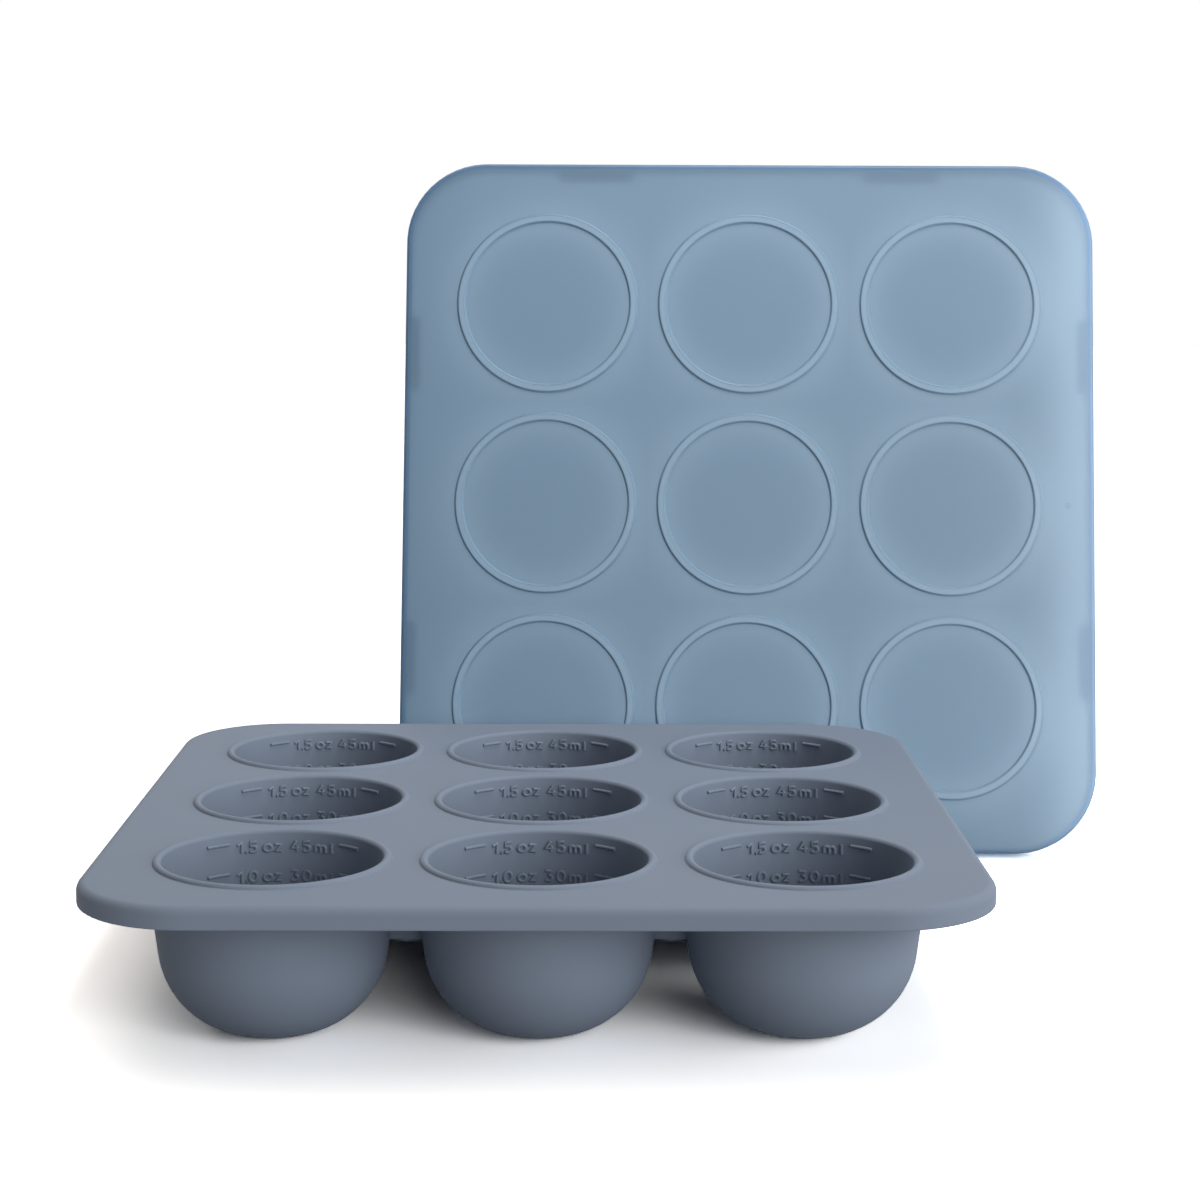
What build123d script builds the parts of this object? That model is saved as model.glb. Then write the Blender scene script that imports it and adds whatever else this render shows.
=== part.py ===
"""Baby food freezer tray: a nine-cup silicone tray and its clip-on polypropylene lid.

Millimetres, +Z up. The origin is where the centre cup's flat base meets the table: X runs to the
right along a row of cups and Y runs towards the back row. The tray stands on its cups. The lid
stands on its edge behind the tray, leaning back, with its outer face to the front.

The tray is one moulding. It is written here as a deck, nine cups and the webs between them, which
meet face to face. The lid is one moulding too, written as a panel, a skirt and its snap tabs.
"""
import math
import os

from build123d import *

# ---- tray ---------------------------------------------------------------------------------------
pitch = 60.0               # between cup centres, both ways
tray_width = 202.2         # square, over the rim
tray_corner_radius = 27.0
deck_thickness = 2.6
rim_height = 5.0           # the deck's edge turns down into a lip of this height
rim_width = 3.4
rim_top_fillet = 2.0
rim_bottom_fillet = 0.35

cup_depth = 39.2           # from the deck's top face to the table
cup_top_radius = 28.5      # outside, at the deck's top face
cup_draft = 6.9            # degrees
cup_corner_radius = 21.0   # outside: the wall runs into the flat base on this arc
mouth_radius = 24.9        # inside, at the deck's top face
inside_draft = 4.0         # degrees, so the wall thickens towards the deck
inside_corner_radius = 18.5
base_thickness = 2.5

bead_outer_radius = 26.9   # raised sealing bead round each mouth
bead_height = 0.9

web_thickness = 2.0        # stiffening webs between neighbouring cups
web_bottom = 19.0          # below the deck's top face

# ---- lid ----------------------------------------------------------------------------------------
lid_width = 204.8
lid_corner_radius = 23.9
lid_thickness = 1.2
lid_edge_fillet = 1.1
skirt_height = 8.0         # over all, from the outer face to the open edge
skirt_wall = 1.2
skirt_edge_fillet = 0.55   # outside, along the open edge

ridge_outer_radius = 27.15  # raised ridge over each bead, at its foot
ridge_inner_radius = 24.35
ridge_height = 0.6
ridge_slope = 0.2          # each side of the ridge leans in by this
groove_outer_radius = 27.1  # groove under the ridge, a loose fit over the bead
groove_inner_radius = 24.7
groove_depth = 0.6

tab_length = 22.0          # snap tabs, two along each side, which catch under the tray's rim
tab_offset = 46.0          # from the middle of the side
tab_reach = 2.6            # inwards from the skirt
tab_height = 1.1
tab_setback = 0.35         # from the skirt's open edge
tab_ramp = 0.6             # lead-in, both ways

# ---- how the lid stands -------------------------------------------------------------------------
lid_lean = 12.8            # degrees back from upright
lid_turn = -1.86           # degrees about the vertical
lid_centre_x = 59.45
lid_centre_y = 119.8

deck_z = cup_depth
tray_half = tray_width / 2
lid_half = lid_width / 2

columns = {"left": -pitch, "middle": 0.0, "right": pitch}
rows = {"front": -pitch, "middle": 0.0, "back": pitch}


def bowl_outline(top_radius, draft, corner_radius, base_z):
    """Half outline of a bowl from its axis to the deck's top face: flat base, arc, drafted wall.

    Returns the three edges and the point where the wall reaches the deck's top face.
    """
    tilt = math.radians(draft)
    arc_z = base_z + corner_radius
    arc_x = top_radius - (deck_z - arc_z) * math.tan(tilt) - corner_radius / math.cos(tilt)
    middle = (math.pi / 2 + tilt) / 2

    def on_arc(angle):
        return (arc_x + corner_radius * math.cos(angle), arc_z - corner_radius * math.sin(angle))

    rim = (top_radius, deck_z)
    base = Line((0, base_z), (arc_x, base_z))
    corner = ThreePointArc((arc_x, base_z), on_arc(middle), on_arc(tilt))
    wall = Line(on_arc(tilt), rim)
    return [base, corner, wall], rim


def turned(edges):
    """A solid of revolution about Z from a closed outline drawn in the XZ plane."""
    return revolve(Plane.XZ * make_face(edges), Axis.Z)


def make_cup():
    """One cup on the Z axis: a bowl with a sealing bead round its mouth."""
    outside, outer_rim = bowl_outline(cup_top_radius, cup_draft, cup_corner_radius, 0.0)
    inside, inner_rim = bowl_outline(mouth_radius, inside_draft, inside_corner_radius, base_thickness)
    bead_foot = (bead_outer_radius, deck_z)
    bead_crest = ((bead_outer_radius + mouth_radius) / 2, deck_z + bead_height)
    top = [
        Line(outer_rim, bead_foot),
        ThreePointArc(bead_foot, bead_crest, inner_rim),
        Line((0, 0), (0, base_thickness)),
    ]
    return turned(outside + top + inside)


def make_cup_core():
    """The space inside a cup's outer skin, up to the deck's top face, which the deck leaves open."""
    outside, rim = bowl_outline(cup_top_radius, cup_draft, cup_corner_radius, 0.0)
    return turned(outside + [Line(rim, (0, deck_z)), Line((0, deck_z), (0, 0))])


def rounded_slab(width, radius, bottom, top):
    return Pos(0, 0, bottom) * extrude(RectangleRounded(width, width, radius), top - bottom)


def grid(piece):
    """The piece at each of the nine cup places, by name."""
    placed = {}
    for row, y in rows.items():
        for column, x in columns.items():
            name = "cup_centre" if (x, y) == (0.0, 0.0) else f"cup_{row}_{column}"
            placed[name] = Pos(x, y, 0) * piece
    return placed


def make_deck(cores):
    """The deck: a thin plate with a turned-down lip, rounded over on top, and nine holes."""
    slab = rounded_slab(tray_width, tray_corner_radius, deck_z - rim_height, deck_z)
    slab = fillet(slab.edges().group_by(Axis.Z)[-1], rim_top_fillet)
    slab = fillet(slab.edges().group_by(Axis.Z)[0], rim_bottom_fillet)
    pocket = rounded_slab(
        tray_width - 2 * rim_width,
        tray_corner_radius - rim_width,
        deck_z - rim_height,
        deck_z - deck_thickness,
    )
    return slab - pocket - list(cores.values())


def make_webs(cores):
    """The twelve webs that tie each cup to its neighbours under the deck."""
    height = web_bottom - deck_thickness
    middle_z = deck_z - (web_bottom + deck_thickness) / 2
    length = pitch / 4     # of a blank, which the two cups trim to fit
    blanks = []
    for across in (-pitch / 2, pitch / 2):
        for along in columns.values():
            blanks.append(Pos(across, along, middle_z) * Box(length, web_thickness, height))
            blanks.append(Pos(along, across, middle_z) * Box(web_thickness, length, height))
    webs = []
    for blank in blanks:
        webs += (blank - list(cores.values())).solids()
    return Compound(children=webs)


def make_lid_panel():
    """The lid's face, outer side up at z = 0, with a ridge outside and a groove inside per cup."""
    panel = rounded_slab(lid_width, lid_corner_radius, -lid_thickness, 0)
    panel = fillet(panel.edges().group_by(Axis.Z)[-1], lid_edge_fillet)
    ridge_section = Polyline(
        (ridge_inner_radius, -lid_thickness),
        (ridge_outer_radius, -lid_thickness),
        (ridge_outer_radius, 0),
        (ridge_outer_radius - ridge_slope, ridge_height),
        (ridge_inner_radius + ridge_slope, ridge_height),
        (ridge_inner_radius, 0),
        close=True,
    )
    ridge = turned(ridge_section.edges())
    groove = extrude(Circle(groove_outer_radius) - Circle(groove_inner_radius), groove_depth)
    groove = Pos(0, 0, -lid_thickness) * groove
    panel = panel + list(grid(ridge).values())
    return panel - list(grid(groove).values())


def make_lid_skirt():
    """The wall that wraps the tray's rim, open towards -Z."""
    outside = rounded_slab(lid_width, lid_corner_radius, -skirt_height, -lid_thickness)
    outside = fillet(outside.edges().group_by(Axis.Z)[0], skirt_edge_fillet)
    inside = rounded_slab(
        lid_width - 2 * skirt_wall, lid_corner_radius - skirt_wall, -skirt_height, -lid_thickness
    )
    return outside - inside


def make_snap_tabs():
    """Eight hooks on the skirt's inner face, each with a ramp that rides over the tray's rim."""
    wall = lid_half - skirt_wall
    tip = wall - tab_reach
    low = tab_setback - skirt_height
    high = low + tab_height
    hook = Polyline(
        (wall, low), (tip + tab_ramp, low), (tip, low + tab_ramp), (tip, high), (wall, high), close=True
    )
    tab = extrude(Plane.XZ * make_face(hook.edges()), tab_length / 2, both=True)
    tabs = []
    for side in range(4):
        for offset in (-tab_offset, tab_offset):
            tabs.append(Rot(0, 0, 90 * side) * Pos(0, offset, 0) * tab)
    return Compound(children=tabs)


def stand_lid(piece):
    """Stand a lid piece on its lower edge behind the tray, leaning back on the skirt's back corner."""
    lean = math.radians(lid_lean)
    centre_z = lid_half * math.cos(lean) + skirt_height * math.sin(lean)
    place = Pos(lid_centre_x, lid_centre_y, centre_z) * Rot(0, 0, lid_turn) * Rot(90 - lid_lean, 0, 0)
    return place * piece


def build():
    cores = grid(make_cup_core())
    nodes = dict(grid(make_cup()))
    nodes["tray_deck"] = make_deck(cores)
    nodes["tray_webs"] = make_webs(cores)
    nodes["lid_panel"] = stand_lid(make_lid_panel())
    nodes["lid_skirt"] = stand_lid(make_lid_skirt())
    nodes["lid_snap_tabs"] = stand_lid(make_snap_tabs())
    return nodes


os.makedirs("parts", exist_ok=True)
for node, shape in build().items():
    export_step(shape, f"parts/{node}.step")
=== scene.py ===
"""Looks of the baby food freezer tray: a nine-cup silicone tray and its frosted clip-on lid."""
import math

import bmesh
import bpy
from mathutils import Matrix, Vector


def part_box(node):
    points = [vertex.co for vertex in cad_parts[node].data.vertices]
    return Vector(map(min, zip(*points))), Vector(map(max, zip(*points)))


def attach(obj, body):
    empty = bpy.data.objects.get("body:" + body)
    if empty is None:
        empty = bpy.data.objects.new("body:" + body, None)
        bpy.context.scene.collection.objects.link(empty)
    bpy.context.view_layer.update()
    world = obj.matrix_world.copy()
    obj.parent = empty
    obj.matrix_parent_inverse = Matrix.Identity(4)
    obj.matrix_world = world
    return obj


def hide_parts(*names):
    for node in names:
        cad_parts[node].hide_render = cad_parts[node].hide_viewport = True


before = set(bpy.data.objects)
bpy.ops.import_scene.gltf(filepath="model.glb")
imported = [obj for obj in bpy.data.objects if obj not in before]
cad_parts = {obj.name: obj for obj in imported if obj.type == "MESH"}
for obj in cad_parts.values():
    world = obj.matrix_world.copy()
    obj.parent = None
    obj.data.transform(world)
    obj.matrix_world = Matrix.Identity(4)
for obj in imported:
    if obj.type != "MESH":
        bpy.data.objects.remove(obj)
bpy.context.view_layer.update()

MM = 0.001

# ---- sizes read from the frame, in millimetres ---------------------------------------------------


def node_box(node):
    low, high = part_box(node)
    return low / MM, high / MM


deck_low, deck_high = node_box("tray_deck")
cup_low, cup_high = node_box("cup_centre")
side_low, side_high = node_box("cup_middle_right")

TRAY_HALF = (deck_high.x - deck_low.x) / 2
DECK_Z = deck_high.z
RIM_HEIGHT = deck_high.z - deck_low.z
CUP_TOP_RADIUS = (cup_high.x - cup_low.x) / 2
BEAD_HEIGHT = cup_high.z - DECK_Z
PITCH = (side_low.x + side_high.x) / 2

# ---- tray sizes that the frame's boxes don't give, in millimetres --------------------------------

TRAY_CORNER = 27.0
DECK_THICKNESS = 2.6
RIM_WIDTH = 3.4
RIM_TOP_FILLET = 2.0
RIM_BOTTOM_FILLET = 0.35
LIP_FILLET = 0.6          # inside the turned-down lip
CUP_DRAFT = math.radians(6.9)
CUP_CORNER = 21.0         # outside radius between the wall and the flat base
MOUTH_RADIUS = 24.9       # inside, at the deck's top face
INSIDE_DRAFT = math.radians(4.0)
INSIDE_CORNER = 18.5
BASE_THICKNESS = 2.5
CUP_FOOT_FILLET = 1.0     # where the cup leaves the underside of the deck
BEAD_RADIUS = 1.0
BEAD_OUTER = 26.9
BEAD_FOOT_FILLET = 0.2
WEB_THICKNESS = 2.0
WEB_BOTTOM = 19.0         # below the deck's top face
WEB_SUNK = 25.2           # where a web ends inside a cup's wall, from the cup's middle
WEB_RISE = 1.0            # how far its top reaches up into the deck
WEB_SPREAD = 1.2          # its width at the deck, as a multiple of its thickness

# ---- lid sizes -----------------------------------------------------------------------------------

LID_HALF = 102.4
LID_CORNER = 23.9
LID_THICKNESS = 1.2
LID_EDGE_FILLET = 1.1
EDGE_BAND = 1.5           # the rim of the face that takes the edge's deeper colour: partly where the light runs along the skirt's depth, partly painted shade
EDGE_FADE = 0.5           # the width over which its colour turns into the face's
SKIRT_HEIGHT = 8.0
SKIRT_WALL = 1.2
SKIRT_ROOT_FILLET = 0.5   # inside, between the face and the skirt
RIDGE_OUTER = 27.02
RIDGE_INNER = 24.4
RIDGE_HEIGHT = 0.6
RIDGE_SLOPE = 0.42
GROOVE_OUTER = 27.1
GROOVE_INNER = 24.7
GROOVE_DEPTH = 0.6
EDGE_ROUND = 0.12         # on the ridges' and grooves' corners
TAB_LENGTH = 22.0
TAB_OFFSET = 46.0
TAB_REACH = 2.6
TAB_HEIGHT = 1.1
TAB_SETBACK = 0.35
TAB_RAMP = 0.6
TAB_SUNK = 0.3            # how far a tab reaches into the skirt
LID_LEAN = math.radians(12.8)   # back from upright
LID_TURN = math.radians(-1.86)  # about the vertical
LID_CENTRE = (59.45, 119.8)

# ---- how finely the meshes are cut ---------------------------------------------------------------

SIDE_STEPS = 32           # steps along one side of a cup's square cell
TURN_STEPS = 4 * SIDE_STEPS
CELL_EDGE_TRAY = 89.6     # outer limit of the block of nine cells
CELL_EDGE_LID = 90.5
DISC_LOOP = 12.0          # a ring of points inside each disc, where the mesh closes to its middle
BASE_LOOP = 0.5           # the same in a cup's flat base, as a share of its radius
INSIDE_LOOPS = (4.0, 10.0)    # depths of the rings of points down a cup's inside wall
OUTSIDE_LOOPS = (8.0, 13.0)   # and down its outside wall
RIM_LOOP = 1.0            # a flat band that keeps the rounded edge's shading off the deck
WELD = 1e-4               # points closer than this become one
PLACES = [(column * PITCH, row * PITCH) for row in (-1, 0, 1) for column in (-1, 0, 1)]


# ---- mesh building -------------------------------------------------------------------------------


def arc(centre, radius, start, end, steps):
    """Points of an arc in a half section, angles in degrees, both ends included."""
    points = []
    for k in range(steps + 1):
        angle = math.radians(start + (end - start) * k / steps)
        points.append((centre[0] + radius * math.cos(angle), centre[1] + radius * math.sin(angle)))
    return points


def add_object(name, data):
    thing = bpy.data.objects.new(name, data)
    bpy.context.scene.collection.objects.link(thing)
    return thing


def add_loop(mesh, points):
    return [mesh.verts.new(point) for point in points]


def bridge(mesh, first, second):
    """Quads between two closed loops with the same number of points."""
    count = len(first)
    for k in range(count):
        after = (k + 1) % count
        mesh.faces.new((first[k], first[after], second[after], second[k]))


def circle(centre, radius, z):
    """A ring of points that starts towards a cell's lower right corner, as cell_outline() does."""
    points = []
    for k in range(TURN_STEPS):
        angle = math.radians(-45 + 360 * k / TURN_STEPS)
        x, y = centre[0] + radius * math.cos(angle), centre[1] + radius * math.sin(angle)
        points.append((x, y, z))
    return points


def cell_limits(middle, edge):
    """From where to where a cell reaches: the outer cells go on to the edge of the nine."""
    low = -edge if middle < 0 else middle - PITCH / 2
    high = edge if middle > 0 else middle + PITCH / 2
    return low, high


def cell_outline(centre, edge, z):
    """The square round one cup, in step with circle(); cells on the outside stop at the edge."""
    low_x, high_x = cell_limits(centre[0], edge)
    low_y, high_y = cell_limits(centre[1], edge)
    corners = [(high_x, low_y), (high_x, high_y), (low_x, high_y), (low_x, low_y)]
    points = []
    for side in range(4):
        start, end = Vector(corners[side]), Vector(corners[(side + 1) % 4])
        points += [(*start.lerp(end, k / SIDE_STEPS), z) for k in range(SIDE_STEPS)]
    return points


def side_positions(edge):
    """Where the cells' points fall along one side of the block of nine."""
    limits = [-edge, -PITCH / 2, PITCH / 2, edge]
    positions = []
    for low, high in zip(limits, limits[1:]):
        positions += [low + (high - low) * k / SIDE_STEPS for k in range(SIDE_STEPS)]
    return positions


def turned_side(x, y, side):
    """A point of the right-hand side carried round to one of the four sides."""
    return [(x, y), (-y, x), (-x, -y), (y, -x)][side]


def block_outline(edge, z):
    points = []
    for side in range(4):
        points += [turned_side(edge, s, side) + (z,) for s in side_positions(edge)]
    return points


def rounded_outline(half, corner, edge, inset, z):
    """A rounded square in step with block_outline(), moved inwards by the inset."""
    straight = half - corner
    points = []
    for side in range(4):
        for s in side_positions(edge):
            if abs(s) <= straight:
                x, y = half - inset, s
            else:
                angle = math.radians(45) * (abs(s) - straight) / (edge - straight)
                x = straight + (corner - inset) * math.cos(angle)
                y = math.copysign(straight + (corner - inset) * math.sin(angle), s)
            points.append(turned_side(x, y, side) + (z,))
    return points


def add_cell(mesh, centre, edge, level, profile):
    """One cup cell: flat from its square outline, then turned along the profile to its centre."""
    loop = add_loop(mesh, cell_outline(centre, edge, level))
    for radius, z in profile:
        inner = add_loop(mesh, circle(centre, radius, z))
        bridge(mesh, loop, inner)
        loop = inner
    middle = mesh.verts.new((centre[0], centre[1], profile[-1][1]))
    for k in range(len(loop)):
        mesh.faces.new((loop[k], loop[(k + 1) % len(loop)], middle))


def add_rim(mesh, half, corner, edge, top, bottom, section):
    """The rim between the nine cells on top and the nine below, along its (inset, z) section."""
    loop = add_loop(mesh, block_outline(edge, top))
    for inset, z in section:
        following = add_loop(mesh, rounded_outline(half, corner, edge, inset, z))
        bridge(mesh, loop, following)
        loop = following
    bridge(mesh, loop, add_loop(mesh, block_outline(edge, bottom)))


def add_bar(mesh, outline, start, end, place):
    """A closed bar: an outline of (across, z) points run from start to end, then placed."""
    rings = []
    for along in (start, end):
        points = [place @ Vector((along, across, z)) for across, z in outline]
        rings.append(add_loop(mesh, points))
    bridge(mesh, rings[0], rings[1])
    for ring in rings:
        mesh.faces.new(ring)


def make_object(name, mesh, material):
    """An object in metres from a mesh in millimetres."""
    bmesh.ops.remove_doubles(mesh, verts=mesh.verts, dist=WELD)
    bmesh.ops.recalc_face_normals(mesh, faces=mesh.faces)
    for vertex in mesh.verts:
        vertex.co *= MM
    data = bpy.data.meshes.new(name)
    mesh.to_mesh(data)
    mesh.free()
    data.shade_smooth()
    data.materials.append(material)
    piece = add_object(name, data)
    piece.modifiers.new("flat_faces_stay_flat", "WEIGHTED_NORMAL")
    return piece


# ---- tray ----------------------------------------------------------------------------------------


def wall_radius(top_radius, draft, z):
    return top_radius - (DECK_Z - z) * math.tan(draft)


def bowl_section(top_radius, draft, corner, base):
    """Corner arc and base of a bowl, from the foot of its drafted wall, as (radius, z) points."""
    centre_z = base + corner
    centre_r = wall_radius(top_radius, draft, centre_z) - corner / math.cos(draft)
    turn = arc((centre_r, centre_z), corner, -math.degrees(draft), -90, steps=18)
    return turn + [(centre_r * BASE_LOOP, base)]


def wall_loops(top_radius, draft, depths):
    """Points down a drafted wall at the given depths below the deck."""
    return [(wall_radius(top_radius, draft, DECK_Z - depth), DECK_Z - depth) for depth in depths]


def cup_inside_section():
    """From the deck over the sealing bead and down the inside of the cup."""
    bead_r = BEAD_OUTER - BEAD_RADIUS
    bead_z = DECK_Z + BEAD_HEIGHT - BEAD_RADIUS
    rise = bead_z - DECK_Z - BEAD_FOOT_FILLET
    foot_r = bead_r + math.sqrt((BEAD_RADIUS + BEAD_FOOT_FILLET) ** 2 - rise**2)
    touch = math.degrees(math.atan2(-rise, foot_r - bead_r))
    foot_centre = (foot_r, DECK_Z + BEAD_FOOT_FILLET)
    foot = arc(foot_centre, BEAD_FOOT_FILLET, -90, -180 + touch, steps=5)
    crest = arc((bead_r, bead_z), BEAD_RADIUS, touch, 180, steps=12)
    walls = wall_loops(MOUTH_RADIUS, INSIDE_DRAFT, INSIDE_LOOPS)
    bowl = bowl_section(MOUTH_RADIUS, INSIDE_DRAFT, INSIDE_CORNER, BASE_THICKNESS)
    return foot + crest[1:] + walls + bowl


def cup_outside_section():
    """From the underside of the deck down the outside of the cup."""
    under = DECK_Z - DECK_THICKNESS
    fillet_z = under - CUP_FOOT_FILLET
    wall_r = wall_radius(CUP_TOP_RADIUS, CUP_DRAFT, fillet_z)
    fillet_r = wall_r + CUP_FOOT_FILLET / math.cos(CUP_DRAFT)
    end = 180 - math.degrees(CUP_DRAFT)
    foot = arc((fillet_r, fillet_z), CUP_FOOT_FILLET, 90, end, steps=6)
    walls = wall_loops(CUP_TOP_RADIUS, CUP_DRAFT, OUTSIDE_LOOPS)
    return foot + walls + bowl_section(CUP_TOP_RADIUS, CUP_DRAFT, CUP_CORNER, 0.0)


def rim_section():
    """The tray's edge: rounded over, down the face, round the lip and up to the underside."""
    low = DECK_Z - RIM_HEIGHT
    under = DECK_Z - DECK_THICKNESS
    low_z = low + RIM_BOTTOM_FILLET
    over = arc((RIM_TOP_FILLET, DECK_Z - RIM_TOP_FILLET), RIM_TOP_FILLET, 90, 180, steps=9)
    below = arc((RIM_BOTTOM_FILLET, low_z), RIM_BOTTOM_FILLET, 180, 270, steps=4)
    inner = arc((RIM_WIDTH - RIM_BOTTOM_FILLET, low_z), RIM_BOTTOM_FILLET, 270, 360, steps=3)
    root = arc((RIM_WIDTH + LIP_FILLET, under - LIP_FILLET), LIP_FILLET, 180, 90, steps=4)
    return [(RIM_TOP_FILLET + RIM_LOOP, DECK_Z)] + over + below + inner + root


def make_tray(material):
    mesh = bmesh.new()
    under = DECK_Z - DECK_THICKNESS
    for place in PLACES:
        add_cell(mesh, place, CELL_EDGE_TRAY, DECK_Z, cup_inside_section())
        add_cell(mesh, place, CELL_EDGE_TRAY, under, cup_outside_section())
    add_rim(mesh, TRAY_HALF, TRAY_CORNER, CELL_EDGE_TRAY, DECK_Z, under, rim_section())
    add_webs(mesh)
    return make_object("tray_moulding", mesh, material)


def add_webs(mesh):
    """Twelve webs that tie neighbouring cups together, their ends sunk in the cups' walls."""
    half = WEB_THICKNESS / 2
    top = DECK_Z - DECK_THICKNESS + WEB_RISE
    tip = arc((0, DECK_Z - WEB_BOTTOM + half), half, 0, -180, steps=8)
    outline = [(half * WEB_SPREAD, top)] + tip + [(-half * WEB_SPREAD, top)]
    for quarter in (0, 1):
        turn = Matrix.Rotation(math.radians(90 * quarter), 4, "Z")
        for across in (-PITCH, 0, PITCH):
            for start in (-PITCH, 0):
                place = turn @ Matrix.Translation((start, across, 0))
                add_bar(mesh, outline, WEB_SUNK, PITCH - WEB_SUNK, place)


# ---- measuring marks -----------------------------------------------------------------------------

MARK_STROKE = 0.82        # width of a raised line
MARK_TALL = 2.35          # height of the figures between the middles of their strokes
MARK_WIDE = 2.80          # the same figures are drawn wider than tall
MARK_LINES = {"1.5oz 45ml": 1.40, "1.0oz 30ml": 8.42}  # depth of each line's top below the deck
MARK_SHIFT = 0.22         # of the whole group along the wall
MARK_RISE = 0.15          # of the strokes' middles above the wall
DASH_START = 13.75        # from the middle of the line, on both sides of it
DASH_LENGTH = 5.9
DASH_STEPS = 6
DASH_DROP = 0.03          # how far down the figures the dash is, as a share of their height


def bend(centre_x, centre_y, radius_x, radius_y, start, end, steps=14):
    """Part of an ellipse, angles in degrees."""
    unit = arc((0, 0), 1, start, end, steps)
    return [(centre_x + radius_x * x, centre_y + radius_y * y) for x, y in unit]


# the strokes of each figure, which stands on 0 and is 1 tall
X_HEIGHT = 0.66           # of the small letters
M_ARCH = 0.235            # radius of each of the two arches of the m
GLYPHS = {
    "0": [bend(0.33, 0.5, 0.33, 0.5, 90, 450, steps=28)],
    "1": [[(0.0, 0.74), (0.34, 1.0), (0.34, 0.0)]],
    "3": [[(0.06, 1.0), (0.58, 1.0), (0.28, 0.6)] + bend(0.28, 0.3, 0.31, 0.3, 80, -140)],
    "4": [[(0.44, 1.0), (0.0, 0.28), (0.74, 0.28)], [(0.54, 0.58), (0.54, 0.0)]],
    "5": [[(0.6, 1.0), (0.12, 1.0), (0.08, 0.56)] + bend(0.28, 0.31, 0.32, 0.31, 105, -140)],
    "o": [bend(0.33, 0.33, 0.33, 0.33, 90, 450, steps=24)],
    "z": [[(0.0, X_HEIGHT), (0.52, X_HEIGHT), (0.0, 0.0), (0.52, 0.0)]],
    "l": [[(0.0, 0.0), (0.0, 1.0)]],
    ".": [[(0.04, 0.0), (0.1, 0.0)]],
    "m": [
        [(0.0, 0.0), (0.0, X_HEIGHT)],
        arc((M_ARCH, X_HEIGHT - M_ARCH), M_ARCH, 180, 0, steps=10) + [(2 * M_ARCH, 0.0)],
        arc((3 * M_ARCH, X_HEIGHT - M_ARCH), M_ARCH, 180, 0, steps=10) + [(4 * M_ARCH, 0.0)],
    ],
}
# where each figure of a line starts, in millimetres from the middle of the line; None is the space
MARK_STARTS = (-11.68, -9.78, -8.84, -5.37, -2.68, None, 1.05, 3.95, 7.10, 11.41)


def on_wall(along, z):
    """A point on the back wall inside a cup, by distance along the wall from its middle."""
    radius = wall_radius(MOUTH_RADIUS, INSIDE_DRAFT, z)
    angle = (along + MARK_SHIFT) / radius
    radius -= MARK_RISE
    return Vector((radius * math.sin(angle), radius * math.cos(angle), z)) * MM


def mark_strokes():
    """The centre lines of every raised stroke in one cup, on the wall."""
    strokes = []
    for words, top in MARK_LINES.items():
        base = DECK_Z - top - MARK_STROKE / 2 - MARK_TALL
        for figure, start in zip(words, MARK_STARTS):
            for stroke in GLYPHS.get(figure, []):
                points = [(start + x * MARK_WIDE, base + y * MARK_TALL) for x, y in stroke]
                strokes.append([on_wall(along, z) for along, z in points])
        level = base + MARK_TALL * (1 - DASH_DROP)
        dash = [DASH_START + DASH_LENGTH * k / DASH_STEPS for k in range(DASH_STEPS + 1)]
        for side in (-1, 1):
            strokes.append([on_wall(side * along, level) for along in dash])
    return strokes


def make_marks(material):
    """One mesh of rounded strokes, used in all nine cups."""
    curve = bpy.data.curves.new("measuring_marks", "CURVE")
    curve.dimensions = "3D"
    curve.bevel_depth = MARK_STROKE / 2 * MM
    curve.bevel_resolution = 3
    curve.use_fill_caps = True
    for stroke in mark_strokes():
        spline = curve.splines.new("POLY")
        spline.points.add(len(stroke) - 1)
        for point, co in zip(spline.points, stroke):
            point.co = (*co, 1)
    maker = add_object("measuring_marks_maker", curve)
    shown = maker.evaluated_get(bpy.context.evaluated_depsgraph_get())
    data = bpy.data.meshes.new_from_object(shown)
    bpy.data.objects.remove(maker)
    data.shade_smooth()
    data.materials.clear()
    data.materials.append(material)
    pieces = []
    for number, (x, y) in enumerate(PLACES, start=1):
        piece = add_object(f"measuring_marks_{number}", data)
        piece.location = (x * MM, y * MM, 0)
        pieces.append(piece)
    return pieces


# ---- lid -----------------------------------------------------------------------------------------


def ring_section(outer, inner, slope, height, level):
    """A raised ring with sloped sides and slightly rounded corners, from outside to inside.

    A ring of points close to its foot, on both sides, keeps its corners' shading off the face.
    """
    top = level + height
    lean = math.degrees(math.atan2(height, slope))
    run = EDGE_ROUND * math.tan(math.radians(lean) / 2)
    foot = arc((outer + run, level + EDGE_ROUND), EDGE_ROUND, -90, -90 - lean, steps=3)
    crest = arc((outer - slope - run, top - EDGE_ROUND), EDGE_ROUND, 90 - lean, 90, steps=3)
    side = [(outer + 3 * EDGE_ROUND, level)] + foot + crest
    return side + [(outer + inner - r, z) for r, z in reversed(side)]


def lid_edge_section():
    """The lid's edge: over the outer corner, down the skirt, round its open edge and up inside."""
    over = arc((LID_EDGE_FILLET, -LID_EDGE_FILLET), LID_EDGE_FILLET, 90, 180, steps=8)
    half_wall = SKIRT_WALL / 2
    tip = arc((half_wall, half_wall - SKIRT_HEIGHT), half_wall, 180, 360, steps=10)
    root_centre = (SKIRT_WALL + SKIRT_ROOT_FILLET, -LID_THICKNESS - SKIRT_ROOT_FILLET)
    root = arc(root_centre, SKIRT_ROOT_FILLET, 180, 90, steps=4)
    return [(EDGE_BAND + EDGE_FADE, 0.0), (EDGE_BAND, 0.0)] + over + tip + root


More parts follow.
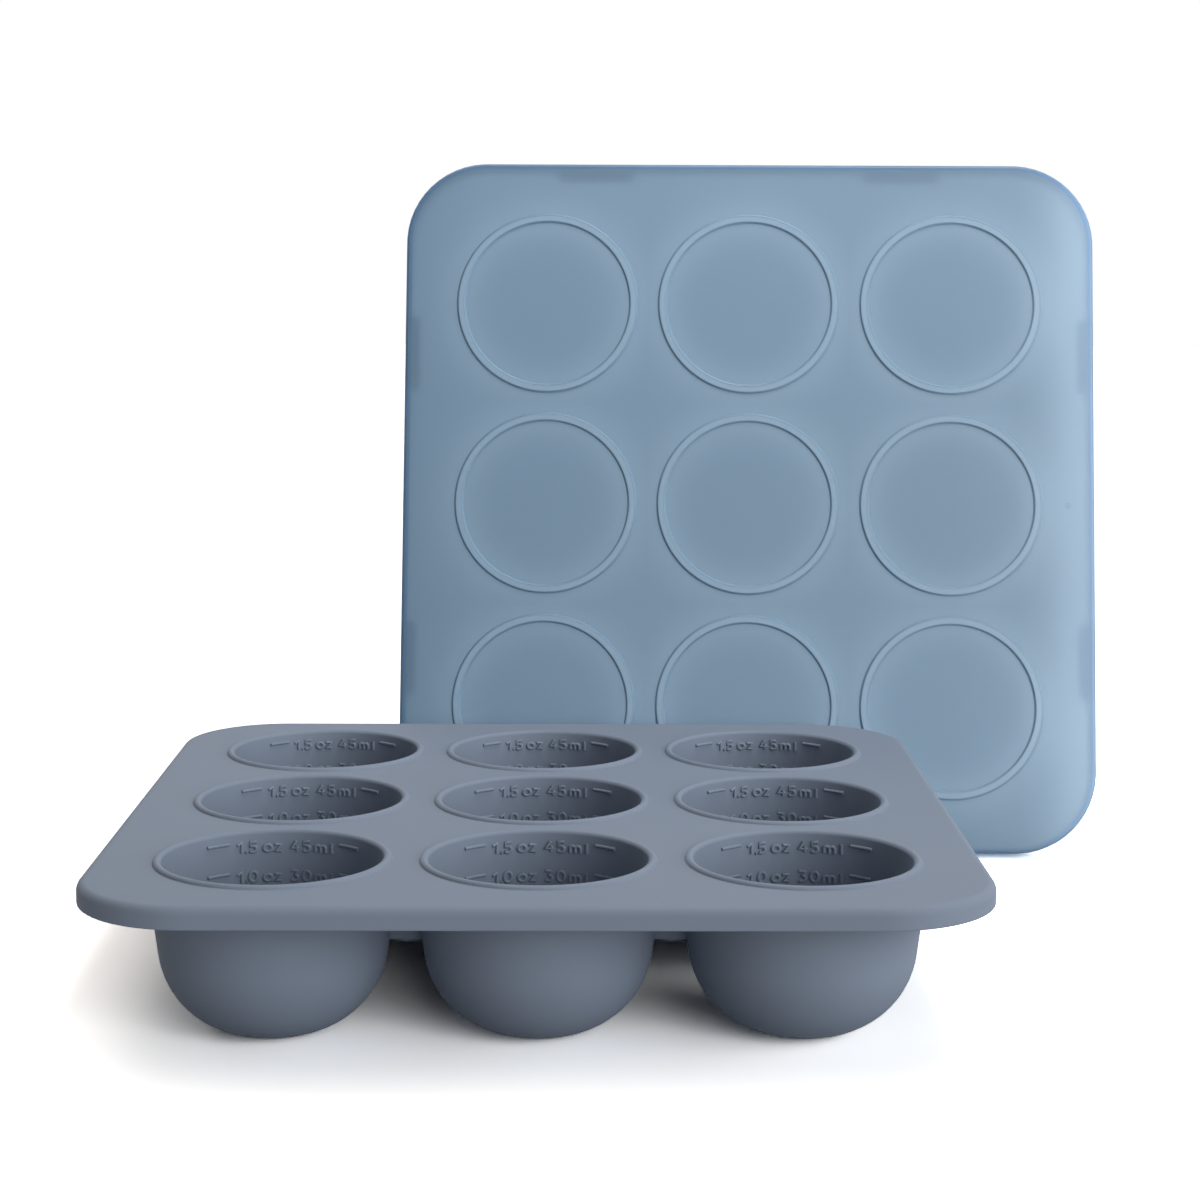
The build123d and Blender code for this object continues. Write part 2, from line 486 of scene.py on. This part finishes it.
def make_lid(material):
    mesh = bmesh.new()
    under = -LID_THICKNESS
    ridge = ring_section(RIDGE_OUTER, RIDGE_INNER, RIDGE_SLOPE, RIDGE_HEIGHT, 0.0)
    groove = ring_section(GROOVE_OUTER, GROOVE_INNER, EDGE_ROUND, GROOVE_DEPTH, under)
    for place in PLACES:
        add_cell(mesh, place, CELL_EDGE_LID, 0.0, ridge + [(DISC_LOOP, 0.0)])
        add_cell(mesh, place, CELL_EDGE_LID, under, groove + [(DISC_LOOP, under)])
    add_rim(mesh, LID_HALF, LID_CORNER, CELL_EDGE_LID, 0.0, under, lid_edge_section())
    add_tabs(mesh)
    mark_edge(mesh)
    lid = make_object("lid_moulding", mesh, material)
    lean = math.pi / 2 - LID_LEAN
    centre_z = LID_HALF * math.cos(LID_LEAN) + SKIRT_HEIGHT * math.sin(LID_LEAN)
    place = Vector((LID_CENTRE[0], LID_CENTRE[1], centre_z)) * MM
    turn = Matrix.Rotation(LID_TURN, 4, "Z") @ Matrix.Rotation(lean, 4, "X")
    lid.matrix_world = Matrix.Translation(place) @ turn
    return lid


EDGE_LAYER = "edge"
EDGE_SLACK = 0.01         # so that points on the band's own limit are in it
TAB_CLEARANCE = 1.0       # only tabs are inside the skirt and this far below the face


def mark_edge(mesh):
    """Store how much of the edge's deeper colour each point has: 1 on the skirt, -1 on the tabs."""
    edge = mesh.verts.layers.float.new(EDGE_LAYER)
    straight = LID_HALF - LID_CORNER
    for vertex in mesh.verts:
        x, y = abs(vertex.co.x) - straight, abs(vertex.co.y) - straight
        inset = LID_CORNER - math.hypot(max(x, 0), max(y, 0)) - min(max(x, y), 0)
        if inset <= EDGE_BAND + EDGE_SLACK:
            vertex[edge] = 1.0
        elif vertex.co.z < -LID_THICKNESS - TAB_CLEARANCE:
            vertex[edge] = -1.0


def add_tabs(mesh):
    """Eight snap tabs on the inside of the skirt, two along each side."""
    wall = LID_HALF - SKIRT_WALL + TAB_SUNK
    tip = LID_HALF - SKIRT_WALL - TAB_REACH
    low = TAB_SETBACK - SKIRT_HEIGHT
    high = low + TAB_HEIGHT
    outline = [(wall, low), (tip + TAB_RAMP, low), (tip, low + TAB_RAMP), (tip, high), (wall, high)]
    for side in range(4):
        turn = Matrix.Rotation(math.radians(90 * side), 4, "Z")
        for offset in (-TAB_OFFSET, TAB_OFFSET):
            place = turn @ Matrix.Translation((offset, 0, 0))
            add_bar(mesh, outline, -TAB_LENGTH / 2, TAB_LENGTH / 2, place)


# ---- materials -----------------------------------------------------------------------------------


class Nodes:
    """A short way to write a node tree."""

    def __init__(self, tree):
        self.tree = tree
        tree.nodes.clear()

    def add(self, kind, inputs=None, **settings):
        node = self.tree.nodes.new(kind)
        for name, value in settings.items():
            setattr(node, name, value)
        for name, value in (inputs or {}).items():
            if isinstance(value, bpy.types.NodeSocket):
                self.tree.links.new(value, node.inputs[name])
            else:
                node.inputs[name].default_value = value
        return node

    def math(self, operation, first, second=0.0):
        node = self.add("ShaderNodeMath", {0: first, 1: second}, operation=operation)
        return node.outputs[0]

    def blend(self, factor, first, second):
        """A mix of two colours, whose sockets Blender tells apart by number only."""
        node = self.add("ShaderNodeMix", {0: factor, 6: first, 7: second}, data_type="RGBA")
        return node.outputs[2]

    def ramp(self, factor, stops):
        """A colour ramp of greys: each stop is (position, grey, alpha)."""
        node = self.add("ShaderNodeValToRGB", {"Fac": factor})
        elements = node.color_ramp.elements
        while len(elements) < len(stops):
            elements.new(0.5)
        for element, (position, grey, alpha) in zip(elements, stops):
            element.position = position
            element.color = (grey, grey, grey, alpha)
        return node


def new_material(name):
    material = bpy.data.materials.new(name)
    material.use_nodes = True
    return material, Nodes(material.node_tree)


GRAIN_DEPTH = 0.00005     # in metres


def grain(nodes, place, scale, strength):
    """The fine grain of a blasted mould, and the bump that it makes."""
    noise = nodes.add("ShaderNodeTexNoise", {"Vector": place, "Scale": scale, "Detail": 2.0})
    bump = nodes.add("ShaderNodeBump", {
        "Height": noise.outputs[0], "Strength": strength, "Distance": GRAIN_DEPTH,
    })
    return noise.outputs[0], bump.outputs[0]


SILICONE = (0.198, 0.236, 0.300, 1)
SILICONE_SHADE = (0.186, 0.222, 0.285, 1)   # where its faint clouds are darkest
SILICONE_CLOUDS = 28.0    # to the metre
SILICONE_GRAINS = 2600.0  # to the metre
SILICONE_BUMP = 0.12
SILICONE_ROUGH = (0.70, 0.82)  # in the hollows and on the tops of the grain


def silicone_material():
    """Matt slate-blue silicone with faint clouds and a fine grain."""
    material, nodes = new_material("silicone")
    place = nodes.add("ShaderNodeTexCoord").outputs["Object"]
    cloud = nodes.add(
        "ShaderNodeTexNoise", {"Vector": place, "Scale": SILICONE_CLOUDS, "Detail": 3.0}
    )
    height, bump = grain(nodes, place, SILICONE_GRAINS, SILICONE_BUMP)
    low, high = SILICONE_ROUGH
    rough = nodes.add("ShaderNodeMapRange", {"Value": height, "To Min": low, "To Max": high})
    shader = nodes.add("ShaderNodeBsdfPrincipled", {
        "Base Color": nodes.blend(cloud.outputs[0], SILICONE_SHADE, SILICONE),
        "Roughness": rough.outputs[0], "Normal": bump, "IOR": 1.41, "Specular IOR Level": 0.4,
    })
    nodes.add("ShaderNodeOutputMaterial", {"Surface": shader.outputs[0]})
    return material


# The face's colour is the ground plus the haze times the painted light, which is 1 in a disc's
# middle.
LID_GROUND = (-0.066, 0.005, 0.088)
LID_HAZE = (0.266, 0.310, 0.341)
# deeper colour of the edge band and skirt: partly the plastic's own depth of colour, partly painted
# shade
LID_EDGE = (0.120, 0.250, 0.420)
# painted light: the tabs' colour is paler than the plastic, so that the tabs, in shade inside the
# skirt, show as soft light patches
LID_TAB = (0.520, 0.790, 1.000, 1)
LID_GRAINS = 1800.0       # to the metre
LID_BUMP = 0.1
CLEAR = 0.6               # how much of the light goes through the face
CLOUDED = 0.15            # and through the steep sides of its ridges

# painted light on the face and how clear it is, by distance from the nearest disc's middle, in
# millimetres: a painted glow round each ridge, a painted highlight on its top and painted shade on
# its steep sides
RING_LIGHT_REACH = 45.0
LIGHT_RAMP_TOP = 1.8           # the painted light that the top of the ramp stands for
RING_LIGHT_STOPS = [
    (0.0, 1.0, CLEAR), (12.0, 1.01, CLEAR), (16.0, 1.03, CLEAR), (20.0, 1.10, CLEAR),
    (22.0, 1.17, CLEAR), (23.8, 1.20, CLEAR), (24.3, 1.2, CLEAR), (24.4, 0.93, CLOUDED),
    (24.85, 0.93, CLOUDED), (24.95, 1.25, CLEAR), (25.2, 1.38, CLEAR), (25.8, 1.45, CLEAR),
    (26.3, 1.36, CLEAR), (26.48, 1.25, CLEAR), (26.58, 0.9, CLOUDED), (27.02, 0.9, CLOUDED),
    (27.12, 1.2, CLEAR), (29.0, 1.19, CLEAR), (30.5, 1.15, CLEAR), (33.0, 1.10, CLEAR),
    (36.0, 1.06, CLEAR), (45.0, 1.02, CLEAR),
]
# painted light across the lid: a little darker at the left, and much lighter near the right edge
SIDE_LIGHT_STOPS = [
    (-100.0, 0.88), (-90.0, 0.92), (-80.0, 0.96), (-40.0, 0.98), (0.0, 1.0), (60.0, 1.01),
    (80.0, 1.08), (86.0, 1.21), (90.0, 1.37), (94.0, 1.57), (99.0, 1.75),
]
PALE_WAY = (0.8, -0.6, 0)  # the edge's deeper colour and its painted shade fade this way, towards the lower right
PALE_START = -30.0        # from here, along that way
PALE_END = 60.0           # to here
PALE_EDGE = 0.4           # what is left of it there
GATE = (94.5, 0.0, 0.0)   # the gate's small round mark
GATE_RADIUS = 1.2
GATE_CORE = 0.6           # the share of that radius where the mark is at its darkest
GATE_SHADE = 0.86


def painted_ring_light(nodes, place):
    """Painted light on the face, lighter beside and on each ridge and darker on its steep sides,
    and how clear it is.
    """
    axes = nodes.add("ShaderNodeSeparateXYZ", {0: place})
    squares = []
    for axis in ("X", "Y"):
        cell = nodes.math("ROUND", nodes.math("DIVIDE", axes.outputs[axis], PITCH * MM))
        cell = nodes.math("MINIMUM", nodes.math("MAXIMUM", cell, -1.0), 1.0)
        middle = nodes.math("MULTIPLY", cell, PITCH * MM)
        offset = nodes.math("SUBTRACT", axes.outputs[axis], middle)
        squares.append(nodes.math("MULTIPLY", offset, offset))
    radius = nodes.math("SQRT", nodes.math("ADD", squares[0], squares[1]))
    stops = [
        (distance / RING_LIGHT_REACH, painted_light / LIGHT_RAMP_TOP, clear) for distance, painted_light, clear in RING_LIGHT_STOPS
    ]
    painted_light = nodes.ramp(nodes.math("DIVIDE", radius, RING_LIGHT_REACH * MM), stops)
    return nodes.math("MULTIPLY", painted_light.outputs[0], LIGHT_RAMP_TOP), painted_light.outputs[1]


def painted_side_light_and_gate(nodes, place):
    """Painted light across the lid, lighter near its right edge, and the gate's own mark."""
    axes = nodes.add("ShaderNodeSeparateXYZ", {0: place})
    across = nodes.add("ShaderNodeMapRange", {
        "Value": axes.outputs["X"], "From Min": -LID_HALF * MM, "From Max": LID_HALF * MM,
    })
    stops = [(0.5 + x / (2 * LID_HALF), painted_light / LIGHT_RAMP_TOP, 1.0) for x, painted_light in SIDE_LIGHT_STOPS]
    painted_side_light = nodes.math("MULTIPLY", nodes.ramp(across.outputs[0], stops).outputs[0], LIGHT_RAMP_TOP)
    distance = nodes.add(
        "ShaderNodeVectorMath", {0: place, 1: Vector(GATE) * MM}, operation="DISTANCE"
    )
    mark = nodes.add("ShaderNodeMapRange", {
        "Value": distance.outputs["Value"], "From Min": GATE_RADIUS * GATE_CORE * MM,
        "From Max": GATE_RADIUS * MM, "To Min": GATE_SHADE, "To Max": 1.0,
    })
    return nodes.math("MULTIPLY", painted_side_light, mark.outputs[0])


def edge_colour(nodes, place, side, face):
    """The face's colour, deeper along the edge and on the skirt, partly as painted shade that fades
    towards the lower right, and paler on the tabs, as painted light.
    """
    edge = nodes.add("ShaderNodeAttribute", attribute_name=EDGE_LAYER).outputs["Fac"]
    # the edge's colour takes the painted light across the lid, and its painted shade fades towards
    # the lower right
    deep = nodes.add("ShaderNodeVectorMath", {0: LID_EDGE, "Scale": side}, operation="SCALE")
    slant = nodes.add("ShaderNodeVectorMath", {0: place, 1: PALE_WAY}, operation="DOT_PRODUCT")
    depth = nodes.add("ShaderNodeMapRange", {
        "Value": slant.outputs["Value"], "From Min": PALE_START * MM, "From Max": PALE_END * MM,
        "To Min": 1.0, "To Max": PALE_EDGE,
    })
    rim = nodes.math("MULTIPLY", nodes.math("MAXIMUM", edge, 0.0), depth.outputs[0])
    tab = nodes.math("MAXIMUM", nodes.math("MULTIPLY", edge, -1.0), 0.0)
    return nodes.blend(tab, nodes.blend(rim, face, deep.outputs[0]), LID_TAB)


def lid_material():
    """Frosted translucent blue plastic, with painted light round each ridge and towards the right
    edge, and a deeper colour at the edge that is partly painted shade.
    """
    material, nodes = new_material("frosted_plastic")
    place = nodes.add("ShaderNodeTexCoord").outputs["Object"]
    ring, clear = painted_ring_light(nodes, place)
    # side is the painted light across the lid, times the gate's mark
    side = painted_side_light_and_gate(nodes, place)
    # the painted light of the rings and the painted light across the lid together
    painted_light = nodes.math("MULTIPLY", ring, side)
    face = nodes.add(
        "ShaderNodeVectorMath", {0: painted_light, 1: LID_HAZE, 2: LID_GROUND}, operation="MULTIPLY_ADD"
    )
    bump = grain(nodes, place, LID_GRAINS, LID_BUMP)[1]
    shader = nodes.add("ShaderNodeBsdfPrincipled", {
        "Base Color": edge_colour(nodes, place, side, face.outputs[0]),
        "Roughness": 0.42, "Normal": bump, "IOR": 1.49, "Transmission Weight": clear,
    })
    nodes.add("ShaderNodeOutputMaterial", {"Surface": shader.outputs[0]})
    return material


# ---- floor, light and camera ---------------------------------------------------------------------

FLOOR_SIZE = 8.0          # in metres, as the lamps' places are
FLOOR_ALBEDO = 0.55       # to light that the floor sends back to the object
FLOOR_SEEN = (2.66, 2.6, 2.54)  # to the camera, so that the open floor is pure white
FLOOR_MIRRORED = 1.3      # the same white, as it shows in the tray's sheen and through the lid
AMBIENT = 0.01            # how brightly the dome lights the object, where 1 is as it is seen


def seen_directly(nodes):
    """1 for rays that show the floor or the backdrop, 0 for rays that carry their light."""
    path = nodes.add("ShaderNodeLightPath")
    seen = nodes.math("MAXIMUM", path.outputs["Is Camera Ray"], path.outputs["Is Glossy Ray"])
    return nodes.math("MAXIMUM", seen, path.outputs["Is Transmission Ray"])


def make_floor():
    material, nodes = new_material("studio_floor")
    plain, mirrored = [(v, v, v, 1) for v in (FLOOR_ALBEDO, FLOOR_MIRRORED)]
    seen = (*FLOOR_SEEN, 1)
    camera = nodes.add("ShaderNodeLightPath").outputs["Is Camera Ray"]
    colour = nodes.blend(camera, nodes.blend(seen_directly(nodes), plain, mirrored), seen)
    shader = nodes.add("ShaderNodeBsdfDiffuse", {"Color": colour})
    nodes.add("ShaderNodeOutputMaterial", {"Surface": shader.outputs[0]})
    data = bpy.data.meshes.new("studio_floor")
    half = FLOOR_SIZE / 2
    square = [(-half, -half, 0), (half, -half, 0), (half, half, 0), (-half, half, 0)]
    data.from_pydata(square, [], [(0, 1, 2, 3)])
    data.materials.append(material)
    add_object("studio_floor", data)


def make_world():
    """A dome that is white where it is seen and lights the object only faintly."""
    world = bpy.data.worlds.new("studio")
    world.use_nodes = True
    bpy.context.scene.world = world
    nodes = Nodes(world.node_tree)
    shown = nodes.math("MULTIPLY", seen_directly(nodes), 1.0 - AMBIENT)
    strength = nodes.math("ADD", shown, AMBIENT)
    background = nodes.add("ShaderNodeBackground", {"Color": (1, 1, 1, 1), "Strength": strength})
    nodes.add("ShaderNodeOutputWorld", {"Surface": background.outputs[0]})


COOL = (0.98, 1.0, 1.02)
WARM = (1.02, 1.0, 0.98)
# square lamps beside the object: name, place, aim, size in metres, watts, colour
SOFTBOXES = [
    ("right_softbox", (0.60, -0.20, 0.22), (0.03, 0, 0.05), 0.35, 1.063, COOL),
    ("top_softbox", (0.10, 0.04, 0.45), (0.05, 0.03, 0), 0.2, 0.837, WARM),
]
# broad far lights: name, elevation, azimuth, strength, colour. Azimuth 0 comes from behind the
# camera and 90 from its right.
SUNS = [
    ("front_fill", 15, 30, 1.664, COOL),
    ("right_fill", 15, 58, 0.45, COOL),
    ("top_fill", 85, 0, 0.388, WARM),
    ("back_fill", 45, 180, 0.403, WARM),
    ("back_left_fill", 45, 225, 0.377, WARM),
]
SUN_SPREAD = math.radians(45)


def add_lamp(name, kind, energy, colour, place, aim=(0, 0, 0)):
    """A lamp that turns towards its aim and isn't seen itself."""
    data = bpy.data.lights.new(name, kind)
    data.energy = energy
    data.color = colour
    lamp = add_object(name, data)
    lamp.location = Vector(place)
    lamp.rotation_euler = (Vector(place) - Vector(aim)).to_track_quat("Z", "Y").to_euler()
    lamp.visible_camera = False
    return data


def make_lights():
    for name, place, aim, size, power, colour in SOFTBOXES:
        data = add_lamp(name, "AREA", power, colour, place, aim)
        data.shape = "SQUARE"
        data.size = size
    for name, elevation, azimuth, strength, colour in SUNS:
        rise, turn = math.radians(elevation), math.radians(azimuth)
        level = math.cos(rise)
        towards = (math.sin(turn) * level, -math.cos(turn) * level, math.sin(rise))
        data = add_lamp(name, "SUN", strength, colour, towards)
        data.angle = SUN_SPREAD


CAMERA_PLACE = (7.277, -595.614, 175.691)
CAMERA_YAW = -0.01191
CAMERA_PITCH = 0.1429     # below the horizon, in radians like the other two
CAMERA_ROLL = 0.00454
CAMERA_FOCAL = 2428.13    # in pixels of the square image
CAMERA_NEAR = 0.01        # nothing nearer than this is drawn, in metres
IMAGE_WIDTH = 1200
SENSOR = 36.0


def make_camera():
    """The camera at the photograph's viewing angle."""
    data = bpy.data.cameras.new("camera")
    data.sensor_width = SENSOR
    data.lens = SENSOR * CAMERA_FOCAL / IMAGE_WIDTH
    data.clip_start = CAMERA_NEAR
    camera = add_object("camera", data)
    yaw = Matrix.Rotation(CAMERA_YAW, 4, "Z")
    pitch = Matrix.Rotation(math.pi / 2 - CAMERA_PITCH, 4, "X")
    roll = Matrix.Rotation(CAMERA_ROLL, 4, "Z")
    camera.matrix_world = Matrix.Translation(Vector(CAMERA_PLACE) * MM) @ yaw @ pitch @ roll
    bpy.context.scene.camera = camera


# ---- the part ------------------------------------------------------------------------------------

TRAY_NODES = [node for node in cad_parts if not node.startswith("lid_")]
LID_NODES = [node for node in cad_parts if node.startswith("lid_")]


def main():
    bpy.context.scene.view_settings.view_transform = "Standard"
    silicone = silicone_material()
    tray = make_tray(silicone)
    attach(tray, "tray")
    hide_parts(*TRAY_NODES)
    for marks in make_marks(silicone):
        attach(marks, "tray")
    lid = make_lid(lid_material())
    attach(lid, "lid")
    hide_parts(*LID_NODES)
    make_floor()
    make_world()
    make_lights()
    make_camera()


main()


def corners(box):
    return [[float(value) for value in corner] for corner in box]
